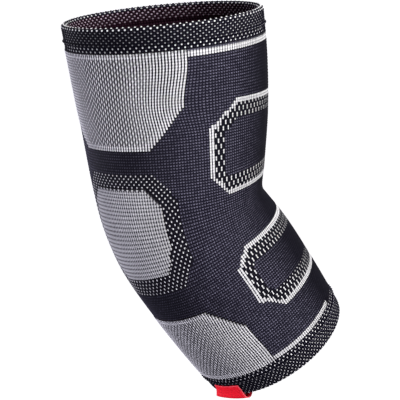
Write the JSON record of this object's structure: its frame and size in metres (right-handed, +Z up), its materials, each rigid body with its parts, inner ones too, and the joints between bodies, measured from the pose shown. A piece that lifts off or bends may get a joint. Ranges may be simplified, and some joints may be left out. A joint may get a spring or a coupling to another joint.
{
  "type": "elbow brace",
  "caption": "Knitted stretch sleeve worn over the elbow for light compression and support, open at both ends, with thicker back panels, turned welts and a hem label.",
  "frame": {"origin": "centre of the elbow on the arm's axis, inside the sleeve", "axes": "+Z up the upper arm, -X out of the back of the elbow, forearm swung forward to +X and a little outward to -Y"},
  "size_m": [0.1287, 0.1222, 0.2155],
  "materials": {
    "dark_knit": "matt elastic knit in near-black yarn, flecked with light yarn",
    "light_knit": "matt ribbed knit in light grey yarn over dark",
    "woven_label": "smooth woven red ribbon, slightly satin"
  },
  "bodies": {
    "root": {"knit_sleeve": "dark_knit", "upper_cuff": "dark_knit", "lower_cuff": "dark_knit", "upper_arm_panel": "light_knit", "elbow_panel": "light_knit", "forearm_panel": "light_knit", "hem_label": "woven_label"}
  },
  "joints": []
}
